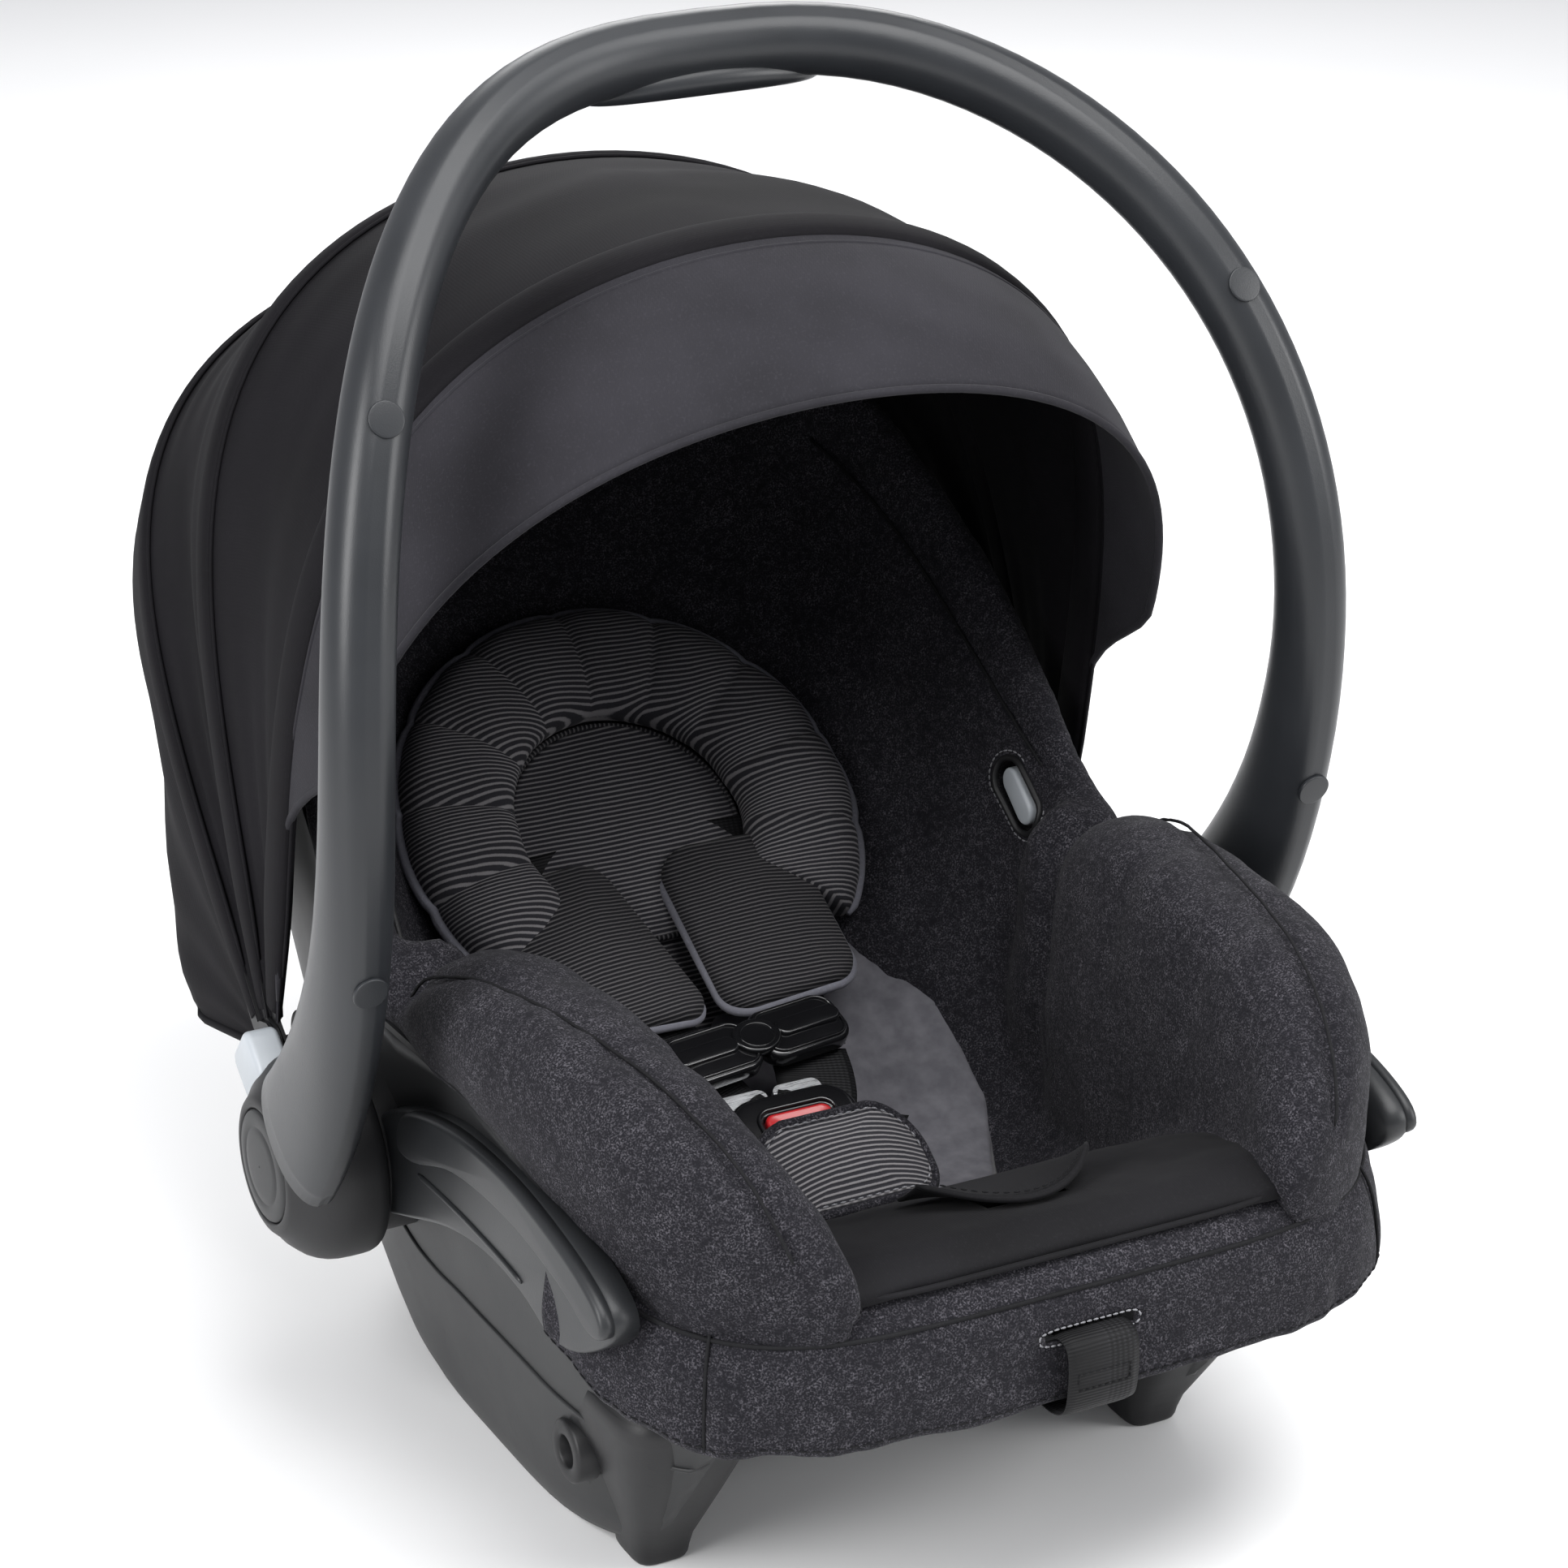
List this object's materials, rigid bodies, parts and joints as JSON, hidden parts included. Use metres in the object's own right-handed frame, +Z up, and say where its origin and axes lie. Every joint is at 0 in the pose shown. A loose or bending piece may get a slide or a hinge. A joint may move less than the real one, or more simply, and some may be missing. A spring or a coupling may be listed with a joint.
{
  "type": "infant car seat",
  "caption": "Rearward-facing infant carrier: moulded shell, padded cover, five-point harness, turning carry handle and a folding three-bow canopy.",
  "frame": {"origin": "on the floor, under the middle of the seat's bounding box", "axes": "+Z up, -Y towards the child's feet, +Y towards the head end, +X to the child's left"},
  "size_m": [0.4428, 0.6525, 0.5631],
  "materials": {
    "shell_plastic": "fine moulded grain, satin",
    "black_plastic": "satin black",
    "buckle_plastic": "polished black",
    "grey_plastic": "light grey, satin",
    "red_plastic": "red",
    "steel": "zinc plated",
    "foam": "expanded foam",
    "heather_fabric": "charcoal heather with pale flecks",
    "jersey_fabric": "smooth black jersey",
    "striped_fabric": "fine ribbed stripes, dark and light grey",
    "suede_fabric": "brushed grey",
    "canopy_fabric": "black stretch twill",
    "webbing": "woven black webbing"
  },
  "bodies": {
    "seat": {"shell": "shell_plastic", "seat_tub": "black_plastic", "foam_liner": "foam", "belt_guide_left": "shell_plastic", "belt_guide_right": "shell_plastic", "front_foot_left": "shell_plastic", "front_foot_right": "shell_plastic", "latch_bar_front": "steel", "latch_bar_rear": "steel", "frame_socket_left": "black_plastic", "frame_socket_right": "black_plastic", "hub_mount_left": "black_plastic", "hub_mount_right": "black_plastic", "pivot_pin_left": "steel", "pivot_pin_right": "steel", "canopy_socket_left": "black_plastic", "canopy_socket_right": "black_plastic", "seat_cover": "heather_fabric", "rim_cover": "heather_fabric", "bolster_left": "heather_fabric", "bolster_right": "heather_fabric", "front_cover": "heather_fabric", "front_pad": "jersey_fabric", "body_insert": "suede_fabric", "pillow_ring": "striped_fabric", "pillow_centre": "striped_fabric", "shoulder_strap_left": "webbing", "shoulder_strap_right": "webbing", "lap_strap_left": "webbing", "lap_strap_right": "webbing", "crotch_strap": "webbing", "shoulder_pad_left": "striped_fabric", "shoulder_pad_right": "striped_fabric", "chest_clip_left": "buckle_plastic", "chest_clip_right": "buckle_plastic", "buckle_body": "buckle_plastic", "buckle_tongues": "steel", "crotch_pad": "striped_fabric", "adjuster_housing": "shell_plastic", "adjuster_strap": "webbing"},
    "handle": {"handle_tube": "shell_plastic", "handle_grip": "shell_plastic", "hub_left": "black_plastic", "hub_right": "black_plastic", "hub_caps": "shell_plastic", "screw_plugs": "shell_plastic"},
    "handle_release_left": {"handle_button_left": "grey_plastic"},
    "handle_release_right": {"handle_button_right": "grey_plastic"},
    "adapter_release_left": {"adapter_button_left": "grey_plastic"},
    "adapter_release_right": {"adapter_button_right": "grey_plastic"},
    "front_bow": {"canopy_front": "canopy_fabric", "bow_front": "black_plastic"},
    "middle_bow": {"canopy_mid": "canopy_fabric", "bow_mid": "black_plastic"},
    "rear_bow": {"canopy_rear": "canopy_fabric", "bow_rear": "black_plastic"},
    "buckle_release": {"buckle_button": "red_plastic"},
    "chest_clip_release": {"chest_clip_button": "buckle_plastic"},
    "adjuster_release": {"adjuster_button": "grey_plastic"},
    "adjuster_flap": {"pad_flap": "jersey_fabric"}
  },
  "joints": [
    {"name": "handle_turn", "type": "hinge", "parent": "seat", "child": "handle", "pos_m": [0, -0.032, 0.125], "axis": [-1, 0, 0], "range_deg": [-35, 100]},
    {"name": "handle_release_left_press", "type": "slide", "parent": "handle", "child": "handle_release_left", "axis": [0, -0.7771, -0.6293], "range_m": [0, 0.003], "stiffness_N_per_m": 600},
    {"name": "handle_release_right_press", "type": "slide", "parent": "handle", "child": "handle_release_right", "axis": [0, -0.7771, -0.6293], "range_m": [0, 0.003], "stiffness_N_per_m": 600},
    {"name": "adapter_release_left_press", "type": "slide", "parent": "seat", "child": "adapter_release_left", "axis": [1, 0, 0], "range_m": [0, 0.003], "stiffness_N_per_m": 600},
    {"name": "adapter_release_right_press", "type": "slide", "parent": "seat", "child": "adapter_release_right", "axis": [-1, 0, 0], "range_m": [0, 0.003], "stiffness_N_per_m": 600},
    {"name": "canopy_fold", "type": "hinge", "parent": "middle_bow", "child": "front_bow", "pos_m": [0, 0.018, 0.15], "axis": [-1, 0, 0], "range_deg": [0, 27], "deforming": ["canopy_front", "canopy_mid", "canopy_rear"]},
    {"name": "middle_bow_fold", "type": "hinge", "parent": "rear_bow", "child": "middle_bow", "pos_m": [0, 0.018, 0.15], "axis": [-1, 0, 0], "range_deg": [0, 19], "deforming": ["canopy_mid"]},
    {"name": "rear_bow_fold", "type": "hinge", "parent": "seat", "child": "rear_bow", "pos_m": [0, 0.018, 0.15], "axis": [-1, 0, 0], "range_deg": [0, 22], "deforming": ["canopy_rear"]},
    {"name": "buckle_press", "type": "slide", "parent": "seat", "child": "buckle_release", "axis": [0, 0.4695, -0.8829], "range_m": [0, 0.003], "stiffness_N_per_m": 900},
    {"name": "chest_clip_press", "type": "slide", "parent": "seat", "child": "chest_clip_release", "axis": [-0.0425, 0.4045, -0.9135], "range_m": [0, 0.0025], "stiffness_N_per_m": 600},
    {"name": "adjuster_press", "type": "slide", "parent": "seat", "child": "adjuster_release", "axis": [0, 0, -1], "range_m": [0, 0.003], "stiffness_N_per_m": 900},
    {"name": "flap_lift", "type": "hinge", "parent": "seat", "child": "adjuster_flap", "pos_m": [0, -0.235, 0.155], "axis": [-1, 0, 0], "range_deg": [0, 75], "stiffness_Nm_per_rad": 0.02}
  ],
  "couplings": [
    {"joint": "middle_bow_fold", "follows": "canopy_fold", "ratio": 0.7037},
    {"joint": "rear_bow_fold", "follows": "canopy_fold", "ratio": 0.81481}
  ]
}
